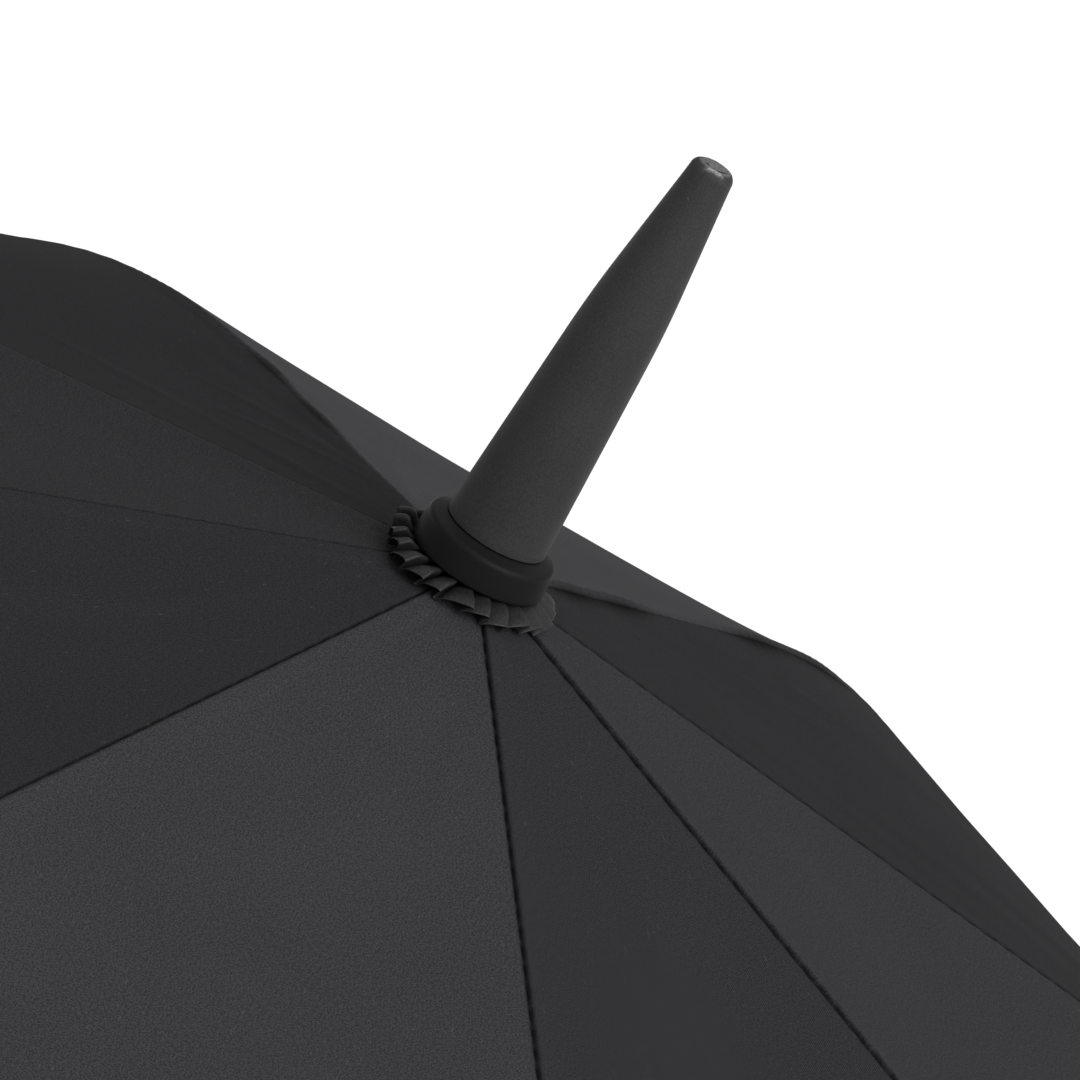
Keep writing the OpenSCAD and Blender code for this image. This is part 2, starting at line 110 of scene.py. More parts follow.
def add_surround():
    """Even light from all round, and a backdrop that is seen as plain white."""
    world = bpy.data.worlds.new("studio")
    world.use_nodes = True
    tree = world.node_tree
    background = tree.nodes["Background"]
    background.inputs["Color"].default_value = (1, 1, 1, 1)
    path = tree.nodes.new("ShaderNodeLightPath")
    level = tree.nodes.new("ShaderNodeMapRange")
    level.inputs["To Min"].default_value = SURROUND
    tree.links.new(path.outputs["Is Camera Ray"], level.inputs["Value"])
    tree.links.new(level.outputs[0], background.inputs["Strength"])
    scene.world = world


add_camera()
scene.view_settings.view_transform = "Standard"
add_surround()
add_sun("key", Vector((cos(KEY_AZIMUTH), sin(KEY_AZIMUTH), KEY_HEIGHT)), 2.8, 50)
add_sun("top", Vector((0, 0, 1)), 0.8, 120)

# ---------------------------------------------------------------- finishes

FERRULE_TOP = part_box("ferrule")[1].z
RUB_AND_HIGHLIGHT_AZIMUTH = radians(252)    # the side of the ferrule's tip that is pale, as rub wear and a painted highlight
RING_R = 2.85 * MM               # the ring round the ferrule's end face
TWILL_SLOPE = 1.3
TWILL_TURN = 9200                # radians in a metre: a diagonal line about every 0.7 mm
THREAD_TURN = 13500              # the same for single threads, about every 0.5 mm


class Finish:
    """A Principled material, with short ways to add nodes to it."""

    def __init__(self, name, **sockets):
        self.material = bpy.data.materials.new(name)
        self.material.use_nodes = True
        self.tree = self.material.node_tree
        self.shader = self.tree.nodes["Principled BSDF"]
        for socket, value in sockets.items():
            self.put(self.shader.inputs[socket.replace("_", " ")], value)

    def put(self, socket, value):
        if isinstance(value, bpy.types.NodeSocket):
            self.tree.links.new(value, socket)
        else:
            socket.default_value = value

    def node(self, kind, inputs=(), **settings):
        made = self.tree.nodes.new(kind)
        for key, value in settings.items():
            setattr(made, key, value)
        for key, value in dict(inputs).items():
            self.put(made.inputs[key], value)
        return made

    def place(self, kind="Object"):
        return self.node("ShaderNodeTexCoord").outputs[kind]

    def stretched(self, vector, factors):
        inputs = {0: vector, 1: factors}
        return self.node("ShaderNodeVectorMath", inputs, operation="MULTIPLY").outputs[0]

    def parts(self, vector):
        return self.node("ShaderNodeSeparateXYZ", {0: vector}).outputs

    def math(self, operation, a, b=0.0):
        return self.node("ShaderNodeMath", {0: a, 1: b}, operation=operation).outputs[0]

    def wave(self, a, scale):
        """Sine of a times scale, as a share from 0 to 1."""
        return self.span(self.math("SINE", self.math("MULTIPLY", a, scale)), -1, 1)

    def span(self, value, low, high, out_low=0.0, out_high=1.0):
        """The value moved from one range to another, and kept inside it."""
        inputs = {0: value, 1: low, 2: high, 3: out_low, 4: out_high}
        return self.node("ShaderNodeMapRange", inputs).outputs[0]

    def noise(self, vector, scale, detail=2.0):
        inputs = {"Vector": vector, "Scale": scale, "Detail": detail}
        return self.node("ShaderNodeTexNoise", inputs).outputs["Fac"]

    def specks(self, vector, scale, size, share, space="2D"):
        """1 in small dots: one dot in a cell, in that share of the cells."""
        inputs = {"Vector": vector, "Scale": scale}
        cell = self.node("ShaderNodeTexVoronoi", inputs, voronoi_dimensions=space)
        dot = self.math("LESS_THAN", cell.outputs["Distance"], size)
        red = self.node("ShaderNodeSeparateColor", {0: cell.outputs["Color"]}).outputs[0]
        return self.math("MULTIPLY", dot, self.math("LESS_THAN", red, share))

    def attribute(self, name):
        return self.node("ShaderNodeAttribute", attribute_name=name).outputs["Fac"]

    def blend(self, share, a, b):
        made = self.node("ShaderNodeMix", data_type="RGBA")
        self.put(made.inputs[0], share)
        self.put(made.inputs[6], a)
        self.put(made.inputs[7], b)
        return made.outputs[2]

    def relief(self, height, distance, strength=1.0):
        """Adds this height to the surface, on top of any relief before it."""
        inputs = {"Height": height, "Distance": distance, "Strength": strength}
        made = self.node("ShaderNodeBump", inputs)
        normal = self.shader.inputs["Normal"]
        if normal.is_linked:
            self.put(made.inputs["Normal"], normal.links[0].from_socket)
        self.put(normal, made.outputs[0])


def grey(value, blue=0.0):
    return (value, value, value * (1 + blue), 1)


def cloth_finish(name, tone, twill, shine, roughness=0.75):
    """Woven polyester. twill is how plainly its diagonal lines show. The mesh attribute "seam"
    darkens it: painted shadow lines along seams and beside lifted panels, and stitch lines."""
    f = Finish(name, Roughness=roughness, Specular_IOR_Level=shine)
    at = f.place("UV")
    across, along, _ = f.parts(at)
    diagonal = f.math("ADD", across, f.math("MULTIPLY", along, TWILL_SLOPE))
    line = f.wave(diagonal, TWILL_TURN)
    thread = f.wave(f.math("SUBTRACT", along, across), THREAD_TURN)
    weave = f.math("MULTIPLY", line, f.span(thread, 0, 1, 0.6, 1))
    fibre = f.noise(f.stretched(at, (1, 0.45, 1)), 1500, 3)
    cloud = f.noise(at, 14, 3)
    # share of the lighter tone: twill lines, fibres, fine grain, and slow clouding
    share = f.math("MULTIPLY", f.math("SUBTRACT", weave, 0.4), twill)
    share = f.math("ADD", share, f.span(fibre, 0.35, 0.65, -0.16, 0.16))
    share = f.math("ADD", share, f.span(f.noise(at, 2400, 1), 0.35, 0.65, -0.5, 0.5))
    share = f.math("ADD", share, f.span(cloud, 0.3, 0.7, 0.40, 0.60))
    colour = f.blend(share, grey(tone * 0.62, 0.07), grey(tone * 1.4, 0.07))
    # lint: round specks, and short fibres that lie along the warp
    lint = f.math(
        "ADD",
        f.specks(at, 170, 0.04, 0.12),
        f.specks(f.stretched(at, (420, 95, 1)), 1, 0.07, 0.10),
    )
    colour = f.blend(f.math("MULTIPLY", lint, 0.1), colour, grey(0.2))
    # painted shade: shadow lines of seams and lifted panels, with stitch lines, darken the colour
    painted_shade_and_stitches = f.attribute("seam")
    colour = f.blend(painted_shade_and_stitches, colour, grey(0.002))
    f.put(f.shader.inputs["Base Color"], colour)
    f.relief(weave, 0.00003, 0.5)
    f.relief(fibre, 0.00004, 0.6)
    return f.material


def thread_finish(name, tone):
    f = Finish(name, Roughness=0.5, Specular_IOR_Level=0.4)
    at = f.place("Object")
    colour = f.blend(f.noise(at, 3000), grey(tone * 0.6), grey(tone * 1.5))
    f.put(f.shader.inputs["Base Color"], colour)
    return f.material


def plastic_base(name, tone, roughness, grain, blue=0.0, coat=0.0, shine=0.4):
    """Moulded plastic with a fine even grain and faint clouding, to be built on."""
    f = Finish(name, Specular_IOR_Level=shine, Coat_Weight=coat, Coat_Roughness=0.25)
    at = f.place("Object")
    fine = f.noise(at, 2600, 3)
    cloud = f.noise(at, 45, 3)
    share = f.math("ADD", f.span(fine, 0.3, 0.7, -0.45, 0.45), f.span(cloud, 0.3, 0.7, 0.3, 0.7))
    colour = f.blend(share, grey(tone * 0.75, blue), grey(tone * 1.3, blue))
    f.put(f.shader.inputs["Base Color"], colour)
    rough = f.span(cloud, 0.3, 0.7, roughness - 0.06, roughness + 0.06)
    f.put(f.shader.inputs["Roughness"], rough)
    f.relief(fine, grain)
    return f


def plastic_finish(name, tone, roughness, grain, **more):
    return plastic_base(name, tone, roughness, grain, **more).material


def metal_finish(name, tone, roughness, streak):
    """Drawn or pressed steel, with streaks along Z."""
    f = Finish(name, Metallic=1.0)
    at = f.place("Object")
    drawn = f.noise(f.stretched(at, (1, 1, streak)), 900, 3)
    stain = f.noise(at, 60, 2)
    f.put(f.shader.inputs["Base Color"], f.blend(stain, grey(tone * 0.8), grey(tone * 1.1)))
    f.put(f.shader.inputs["Roughness"], f.span(drawn, 0.3, 0.7, roughness - 0.08, roughness + 0.1))
    f.relief(drawn, 0.00002, 0.5)
    return f.material


def ferrule_finish():
    """Matte moulded plastic. The end face is paler, as scuffs and painted light from above, and
    one side of the tip is pale, as rub wear and a painted highlight. The ring round the end face
    has painted shade.
    """
    f = plastic_base("ferrule_plastic", 0.032, 0.55, 0.00005, shine=0.1)
    at = f.place("Object")
    x, y, z = f.parts(at)

    def times(a, b):
        return f.math("MULTIPLY", a, b)

    # distances from the axis: towards the pale side, to either side of that, and outwards
    c, s = cos(RUB_AND_HIGHLIGHT_AZIMUTH), sin(RUB_AND_HIGHLIGHT_AZIMUTH)
    towards = f.math("ADD", times(x, c), times(y, s))
    aside = f.math("ABSOLUTE", f.math("SUBTRACT", times(y, c), times(x, s)))
    radius = f.math("SQRT", f.math("ADD", times(x, x), times(y, y)))
    patch = f.span(f.noise(at, 1600, 4), 0.4, 0.6, 0.35, 1)
    crown = f.math("GREATER_THAN", z, FERRULE_TOP - 2.2 * MM)
    # the pale band on one side of the tip, rub wear and painted highlight, and the paler end face,
    # scuffs and painted light from above
    rub_and_highlight = times(f.span(aside, 2.6 * MM, 1.3 * MM), f.span(towards, 2.9 * MM, 3.3 * MM))
    rub_and_highlight = times(times(rub_and_highlight, f.span(towards, 4.6 * MM, 3.9 * MM)), crown)
    face = f.span(z, FERRULE_TOP - 0.5 * MM, FERRULE_TOP - 0.15 * MM, 0, 0.45)
    wear_and_painted_light = times(f.math("MAXIMUM", rub_and_highlight, face), patch)
    # painted shade in the ring round the end face, broken here and there, on the pale side
    ring = f.span(f.math("ABSOLUTE", f.math("SUBTRACT", radius, RING_R)), 0.42 * MM, 0.2 * MM)
    broken = times(f.span(f.noise(at, 420, 2), 0.36, 0.5), f.span(towards, 0.5 * MM, 1.6 * MM))
    groove = times(times(ring, broken), crown)
    base = f.shader.inputs["Base Color"].links[0].from_socket
    # the pale colour is wear together with a painted highlight and painted light from above
    worn = f.blend(wear_and_painted_light, base, grey(0.3))
    dust = times(f.specks(at, 260, 0.07, 0.05, "3D"), 0.3)
    worn = f.blend(dust, worn, grey(0.12))
    f.put(f.shader.inputs["Base Color"], f.blend(groove, worn, grey(0.004)))
    rough = f.shader.inputs["Roughness"].links[0].from_socket
    f.put(f.shader.inputs["Roughness"], f.math("SUBTRACT", rough, times(wear_and_painted_light, 0.2)))
    return f.material


# Neighbouring panels differ: the odd ones are darker and show their twill. The tones are painted
# light: the even panels' lighter tone is painted sheen of twill cut the other way, and each
# panel's tone is also set for how the light falls on it
PANEL_TONES_AND_PAINTED_LIGHT = (0.0215, 0.0345, 0.0205, 0.024, 0.0235, 0.032, 0.025, 0.0275)
DARK_CLOTH = {"twill": 1.5, "shine": 0.01}
LIGHT_CLOTH = {"twill": 0.25, "shine": 0.05}
CLOTH = {
    panel: cloth_finish(f"pongee_{panel}", tone, **(DARK_CLOTH if panel % 2 else LIGHT_CLOTH))
    for panel, tone in enumerate(PANEL_TONES_AND_PAINTED_LIGHT, 1)
}
ROSETTE = cloth_finish("pongee_gathered", 0.017, 0.3, 0.2, 0.45)
NYLON = plastic_finish("nylon", 0.014, 0.42, 0.00003)
FINISH = {
    "shaft": plastic_finish("shaft_resin", 0.016, 0.22, 0.00001, coat=0.5),
    "ferrule": ferrule_finish(),
    "collar": plastic_finish("collar_plastic", 0.0075, 0.5, 0.00001, blue=0.08, shine=0.08),
    "black_nylon": NYLON,
    "spring_steel": metal_finish("steel_bright", 0.55, 0.25, 1),
    "grip_foam": plastic_finish("foam", 0.012, 0.85, 0.00015),
    "runner_rubber": plastic_finish("rubber", 0.012, 0.7, 0.00006),
    "button": plastic_finish("button_plastic", 0.10, 0.18, 0.00001, coat=0.6),
    "fibreglass": plastic_finish("fibreglass", 0.016, 0.28, 0.00002, coat=0.3),
    "fittings": NYLON,
    "stretcher_metal": metal_finish("coated_steel", 0.10, 0.42, 0.2),
}
STRAP = cloth_finish("ribbon", 0.03, 0.4, 0.1)
THREAD = thread_finish("thread", 0.02)

for part in frame["record"]["subparts"]:
    finish = FINISH.get(part["material_slot"])
    if finish:
        materials = frame["nodes"][part["node"]].data.materials
        materials.clear()
        materials.append(finish)

# ---------------------------------------------------------------- mesh helpers

SHARP_DEGREES = 40               # a turned piece's edges stay crisp above this angle


def add_mesh(name, points, faces, materials, uv=None, normals=None, indices=None, floats=()):
    """A mesh object. uv and normals hold one entry for each face corner."""
    data = bpy.data.meshes.new(name)
    data.from_pydata([tuple(p) for p in points], [], [tuple(f) for f in faces])
    for material in materials:
        data.materials.append(material)
    data.polygons.foreach_set("use_smooth", [True] * len(data.polygons))
    if indices is not None:
        data.polygons.foreach_set("material_index", np.asarray(indices, np.int32))
    layer = data.uv_layers.new(name="UVMap")
    if uv is not None:
        layer.data.foreach_set("uv", np.asarray(uv, np.float32).ravel())
    for key, values in dict(floats).items():
        made = data.attributes.new(key, "FLOAT", "POINT")
        made.data.foreach_set("value", np.asarray(values, np.float32))
    data.update()
    if normals is not None:
        data.normals_split_custom_set([tuple(n) for n in normals])
    obj = bpy.data.objects.new(name, data)
    scene.collection.objects.link(obj)
    return obj


def lathe(name, profile, steps, material, radius_change=None):
    """A closed ring of (radius, height) points turned round Z. A point on the axis becomes one
    vertex. radius_change gives what is added to the radius at an angle, radius and height."""
    points, rings = [], []
    for r, z in profile:
        if r < 1e-7:
            rings.append([len(points)] * steps)
            points.append((0, 0, z))
            continue
        rings.append(list(range(len(points), len(points) + steps)))
        for k in range(steps):
            a = 2 * pi * k / steps
            q = r + (radius_change(a, r, z) if radius_change else 0)
            points.append((q * cos(a), q * sin(a), z))
    faces = []
    for ring, after in zip(rings, rings[1:] + rings[:1]):
        for k in range(steps):
            m = (k + 1) % steps
            corners = [ring[k], ring[m], after[m], after[k]]
            face = list(dict.fromkeys(corners))
            if len(face) > 2:
                faces.append(face)
    obj = add_mesh(name, points, faces, [material])
    obj.data.set_sharp_from_angle(angle=radians(SHARP_DEGREES))
    return obj


def tube_faces(count, sides, start=0):
    """Faces of a closed tube, of count rings with that many sides each."""
    faces = []
    for k in range(count):
        for q in range(sides):
            m = start + (q + 1) % sides
            n = (k + 1) % count * sides
            faces.append((k * sides + q + start, k * sides + m, n + m, n + q + start))
    return faces


def closed_wire(name, path, radius, sides, material):
    """A round wire along the path's points and back to its first."""
    path = [Vector(p) for p in path]
    points = []
    side = None
    for k, p in enumerate(path):
        along = (path[(k + 1) % len(path)] - path[k - 1]).normalized()
        if side is None:
            side = along.orthogonal()
        side = (side - along * side.dot(along)).normalized()
        other = along.cross(side)
        for q in range(sides):
            a = 2 * pi * q / sides
            points.append(p + radius * (cos(a) * side + sin(a) * other))
    return add_mesh(name, points, tube_faces(len(path), sides), [material])


# ---------------------------------------------------------------- canopy

RIBS = 8
SECTOR = 2 * pi / RIBS
APEX_Z = 0.892                   # where the straight part of the cover would meet the shaft's axis
PITCH = radians(13)              # slope of the ribs at the hub, and how much more they bend
BEND = radians(20)
HINGE_R = 11.5 * MM
AXIS_OFF = 4.3 * MM              # from a rib's axis to the cloth's outer face
RIB_STRAIGHT = 0.18              # a rib is straight, then an arc, then straight again
RIB_ARC = 0.285
RIB_OUTER = 0.25
ARC_R = RIB_ARC / BEND
END_SLOPE = PITCH + BEND
RIB_Z0 = APEX_Z - AXIS_OFF / cos(PITCH) - HINGE_R * tan(PITCH)
# Where a rib's arc starts, and the arc's centre, as (radius, height)
KNEE = (HINGE_R + RIB_STRAIGHT * cos(PITCH), RIB_Z0 - RIB_STRAIGHT * sin(PITCH))
ARC_CENTRE = (KNEE[0] - ARC_R * sin(PITCH), KNEE[1] - ARC_R * cos(PITCH))
COVER_START = 9 * MM             # radius where the cloth starts
# The cloth bends from the radius COVER_KNEE to the place COVER_TURN, and ends at COVER_END
COVER_KNEE = KNEE[0] + AXIS_OFF * sin(PITCH)
COVER_TURN = (
    ARC_CENTRE[0] + (ARC_R + AXIS_OFF) * sin(END_SLOPE),
    ARC_CENTRE[1] + (ARC_R + AXIS_OFF) * cos(END_SLOPE),
)
COVER_END = COVER_TURN[0] + RIB_OUTER * cos(END_SLOPE) - 2 * MM
HEM_SCALLOP = 14 * MM            # how far the hem curves in between two ribs
PANEL_SAG = 2.5 * MM
CLOTH_T = 0.35 * MM              # thickness
HEM_WIDTH = 7 * MM
HEM_STEP = 0.25 * MM             # how far the doubled hem stands up

# On each side of a rib the cloth is a strip that stays with the rib, and a flap out to the
# middle of the panel. They meet on the fold's line, where the cloth crosses a plane that leans
# outwards from the rib
FLAP_LEAN = radians(17.5)        # how far the plane leans, and which way in the rib's own plane
FLAP_TURN = radians(25)
FLAP_R0 = 60 * MM                # a place on the fold's line: radius, and distance from the rib
FLAP_T0 = 12 * MM
MEAN_REACH = 0.66                # the cover's length, to start looking for the fold's line
FOLD_ROUNDS = 12

ROWS_NEAR = 145                  # rows of the cloth out to ROW_BREAK, and beyond it
ROWS_FAR = 80
ROW_BREAK = 0.42                 # as a share of the way from hub to hem
ROW_SHARES = np.concatenate([
    np.linspace(0, ROW_BREAK, ROWS_NEAR, endpoint=False),
    np.linspace(ROW_BREAK, 1, ROWS_FAR),
])
# Columns of a strip, from the seam to the fold
STRIP_SHARES = (0, 0.02, 0.045, 0.08, 0.12, 0.18, 0.27, 0.40, 0.57, 0.78, 1)
FLAP_COLS = 28


def cover_z(r):
    """Height of the plain cover over a rib: straight, bent, straight."""
    straight = APEX_Z - r * tan(PITCH)
    inside = np.maximum((ARC_R + AXIS_OFF) ** 2 - (r - ARC_CENTRE[0]) ** 2, 0)
    bend = ARC_CENTRE[1] + np.sqrt(inside)
    outer = COVER_TURN[1] - (r - COVER_TURN[0]) * tan(END_SLOPE)
    return np.where(r <= COVER_KNEE, straight, np.where(r <= COVER_TURN[0], bend, outer))


def smooth(low, high, value):
    """0 below low, 1 above high, and an even S between."""
    t = np.clip((value - low) / (high - low), 0, 1)
    return t * t * (3 - 2 * t)


def bell(value, middle, width):
    return np.exp(-((value - middle) / width) ** 2)


# How each seam looks: depth of its groove, how far one side stands above the other, how wide and
# how dark its painted shadow line is, and how much the stitches break it. Lengths in mm, seams
# numbered as their ribs
SEAMS = {
    1: {"groove": 0.70, "step": 0.0, "line": 0.62, "dark": 0.85, "dash": 0.70},
    2: {"groove": 0.40, "step": 0.2, "line": 0.28, "dark": 0.35, "dash": 0.1},
    3: {"groove": 0.40, "step": 0.0, "line": 0.30, "dark": 0.60, "dash": 0.2},
    4: {"groove": 0.12, "step": 0.0, "line": 0.22, "dark": 0.12, "dash": 0.3},
    5: {"groove": 0.45, "step": 0.3, "line": 0.36, "dark": 0.85, "dash": 0.2},
    6: {"groove": 0.50, "step": 0.2, "line": 0.32, "dark": 0.92, "dash": 0.25},
    7: {"groove": 0.60, "step": 0.5, "line": 0.42, "dark": 0.95, "dash": 0.45},
    8: {"groove": 0.60, "step": 0.9, "line": 0.50, "dark": 0.96, "dash": 0.35},
}
# Stretches of a seam, as (seam, side, middle, half length, height) in mm, where the panel on that
# side is pushed up and leaves a gap, with a painted shadow along it: side 1 is the next panel, -1
# the one before
LIFT_SPREAD = 0.7
LIFTS = (
    (2, 1, 62, 26, 1.0), (2, 1, 98, 30, 1.2), (2, 1, 200, 34, 0.7), (2, 1, 258, 46, 1.1),
    (3, -1, 168, 26, 1.2), (3, -1, 124, 26, 0.7),
)
# Creases, as (panel, radius and share across at one end, the same at the other end, height, width)
# in mm
CREASES = (
    (1, 60, 0.90, 150, 0.62, 0.50, 2.2), (1, 75, 0.92, 175, 0.66, -0.40, 2.4),
    (1, 92, 0.93, 195, 0.72, 0.60, 2.2), (1, 108, 0.94, 215, 0.76, -0.45, 2.6),
    (1, 126, 0.95, 235, 0.80, 0.50, 2.6),
    (3, 62, 0.04, 150, 0.30, 0.40, 2.6), (3, 60, 0.05, 190, 0.16, -0.35, 3.0),
    (3, 58, 0.06, 120, 0.45, 0.35, 2.4), (3, 30, 0.55, 170, 0.62, 0.30, 3.5),
    (2, 50, 0.90, 170, 0.70, 0.40, 3.0), (2, 54, 0.86, 150, 0.55, -0.30, 3.0),
    (4, 32, 0.30, 150, 0.42, 0.30, 3.2), (4, 40, 0.62, 190, 0.70, -0.25, 4.0),
    (5, 30, 0.50, 120, 0.55, 0.20, 3.0), (6, 30, 0.40, 110, 0.44, 0.22, 3.0),
    (6, 34, 0.70, 140, 0.66, -0.20, 4.0), (7, 30, 0.50, 160, 0.48, 0.50, 2.6),
    (7, 45, 0.30, 190, 0.36, 0.42, 2.6), (8, 36, 0.45, 170, 0.50, 0.20, 3.5),
)
SEAM_WAVE = 6.2                  # mm between the small puckers along a seam
STITCH = 6.0                     # mm between the breaks in a seam's shadow line
draws = np.random.default_rng(7)
# Slow waves of each panel: turns across it, turns in 100 mm outwards, phase, height in mm
WAVES = {
    panel: [
        (draws.uniform(2.0, 5.0), draws.uniform(0.5, 1.8), draws.uniform(0, 2 * pi),
         draws.uniform(0.02, 0.07))
        for _ in range(5)
    ]
    for panel in range(1, RIBS + 1)
}
# Shallow gathers of each panel round the rosette: how many, and their phase
GATHERS = {
    panel: (draws.integers(4, 7), draws.uniform(0, 2 * pi))
    for panel in range(1, RIBS + 1)
}


def crease_height(panel, r, u):
    """Height in mm of the panel's creases, with r in mm."""
    total = np.zeros_like(r)
    for number, r1, u1, r2, u2, height, width in CREASES:
        if number != panel:
            continue
        share = (r - r1) / (r2 - r1)
        away = (u - u1 - (u2 - u1) * share) * r * 2 * sin(SECTOR / 2)
        ends = smooth(-0.05, 0.25, share) * (1 - smooth(0.6, 1.05, share))
        total += height * ends * bell(away, 0, width)
    return total


def relief(panel, r, u):
    """Height in metres that the cloth stands off its plain surface, at a radius and a share u of
    the way from the panel's first rib to its second."""
    r = r / MM
    first, second = panel, panel % RIBS + 1
    edge_1 = r * u * sin(SECTOR)
    edge_2 = r * (1 - u) * sin(SECTOR)
    bow = 4 * u * (1 - u)
    height = np.zeros_like(r)
    # each seam's groove, puckers and lifts, the allowance under the side after it, and its step
    for rib, t, side in ((first, edge_1, 1), (second, edge_2, -1)):
        seam = SEAMS[rib]
        height -= seam["groove"] * bell(t, 0, 0.5)
        height += 0.07 * np.cos(r * 2 * pi / SEAM_WAVE + rib) * bell(t, 0, 3.5)
        for number, lifted, middle, half, lift in LIFTS:
            if (number, lifted) == (rib, side):
                gap = bell(r, middle, half * LIFT_SPREAD)
                height += lift * gap * smooth(0, 1.8, t) * np.exp(-t / 9)
        if side > 0:
            height += 0.22 * smooth(0.3, 1.2, t) * (1 - smooth(4.5, 6.5, t))
            height += seam["step"] * smooth(0, 0.5, t) * np.exp(-t / 3.5)
    # shallow gathers round the rosette, creases, and slow waves
    count, phase = GATHERS[panel]
    near = bell(r, 21, 26)
    height += 0.05 * near * np.sin(2 * pi * count * u + phase) * np.minimum(1, bow * 2)
    height += 0.8 * crease_height(panel, r, u) * np.minimum(1, bow * 4)
    for across, along, phase, size in WAVES[panel]:
        turn = along * r / 100 + across * u
        height += size * np.sin(2 * pi * turn + phase) * bow * smooth(20, 120, r)
    return height * MM


# Places on the cloth, in the frame of a rib and on one side of it: row is the share of the way
# from hub to hem, and f the share of the way to the next rib on that side


def panel_of(rib, side):
    return rib if side > 0 else (rib - 2) % RIBS + 1


def hem_radius(f):
    share = 2 * f
    return COVER_END - HEM_SCALLOP * share * (2 - share)


def row_radius(row, f):
    return COVER_START + (hem_radius(f) - COVER_START) * row


def cloth_point(rib, side, row, f):
    return cloth_at(rib, side, row_radius(row, f), f)


def cloth_at(rib, side, r, f):
    panel = panel_of(rib, side)
    u = f if side > 0 else 1 - f
    bow = 4 * f * (1 - f)
    along = (r - COVER_START) / (COVER_END - COVER_START)
    height = cover_z(r) - PANEL_SAG * bow * np.sin(pi * along) + relief(panel, r, u)
    end = hem_radius(np.minimum(f, 1 - f))
    height = height + HEM_STEP * smooth(end - HEM_WIDTH - 0.8 * MM, end - HEM_WIDTH, r)
    return np.stack([r * (1 - f + f * cos(SECTOR)), side * r * f * sin(SECTOR), height], -1)


def cloth_normal(rib, side, row, f):
    r = row_radius(row, f)
    dr = 0.2 * MM
    df = 0.1 * MM / (r * sin(SECTOR))
    low = np.maximum(f - df, 0)
    across = cloth_at(rib, side, r, f + df) - cloth_at(rib, side, r, low)
    out = cloth_at(rib, side, r + dr, f) - cloth_at(rib, side, r - dr, f)
    normal = np.cross(out, across) * side
    return normal / np.linalg.norm(normal, axis=-1, keepdims=True)


def flap_plane(side):
    """A point of the plane between a strip and its flap, and the plane's normal, in the rib's
    frame.
    """
    lean = np.array([sin(FLAP_TURN), 0, cos(FLAP_TURN)])
    normal = np.array([0, side * cos(FLAP_LEAN), 0]) - sin(FLAP_LEAN) * lean
    point = np.array([FLAP_R0, side * FLAP_T0, float(cover_z(np.array(FLAP_R0)))])
    return point, normal


def strip_edge(rib, side, row):
    """For each row, the share f at which the cloth meets the flap's plane, at most one half."""
    point, normal = flap_plane(side)
    f = np.minimum(0.5, FLAP_T0 / (np.maximum(row, 0.01) * MEAN_REACH * sin(SECTOR)))
    for _ in range(FOLD_ROUNDS):
        p = cloth_point(rib, side, row, f)
        off = (p - point) @ normal
        reach = np.maximum(p[:, 0], COVER_START) * sin(SECTOR)
        f = np.clip(f - off / (cos(FLAP_LEAN) * reach), 0.001, 0.5)
    return f


def weave_place(rib, side, points):
    """Places in the weave, in metres, with the warp along the middle of the panel."""
    turn = side * SECTOR / 2
    along = points[..., 0] * cos(turn) + points[..., 1] * sin(turn)
    across = points[..., 1] * cos(turn) - points[..., 0] * sin(turn)
    return np.stack([across, along], -1)


def seam_shade(rib, side, row, f):
    """How dark the painted seam and lift shadows and the hem's stitch line are."""
    r = row_radius(row, f) / MM
    t = r * f * sin(SECTOR)
    seam = SEAMS[rib]
    width, dark = np.full_like(r, seam["line"]), np.full_like(r, seam["dark"])
    painted_lift_shade = np.zeros_like(r)
    for number, lifted, middle, half, _ in LIFTS:
        if number == rib:
            # painted shade: a lifted panel's own edge is a little darker, and the panel below it
            # over a wider band
            gap = bell(r, middle, half * LIFT_SPREAD)
            width += (0.35 if side == lifted else 2.2) * gap
            dark += (0.99 - dark) * gap
            if side == lifted:
                painted_lift_shade += 0.5 * gap * bell(t, 0, 2.2)
    # the painted shadow line is wider on the lower side of a step
    if seam["step"] > 0 and side < 0:
        width = width * 1.6
    dash = 1 - seam["dash"] * smooth(0.82, 0.95, np.abs(np.cos(pi * r / STITCH)))
    shade = np.maximum(dark * bell(t, 0, width) * dash, painted_lift_shade)
    stitch = bell(hem_radius(f) / MM - r - HEM_WIDTH / MM, 0, 0.7)
    return np.clip(shade + 0.7 * stitch, 0, 1)


def rotated(points, angle):
    """The points turned about Z."""
    c, s = cos(angle), sin(angle)
    return points @ np.array([[c, s, 0], [-s, c, 0], [0, 0, 1]])


def by_side(after, before=None):
    """An array for each side of a seam, or the same one for both."""
    return {1: after, -1: after if before is None else before}


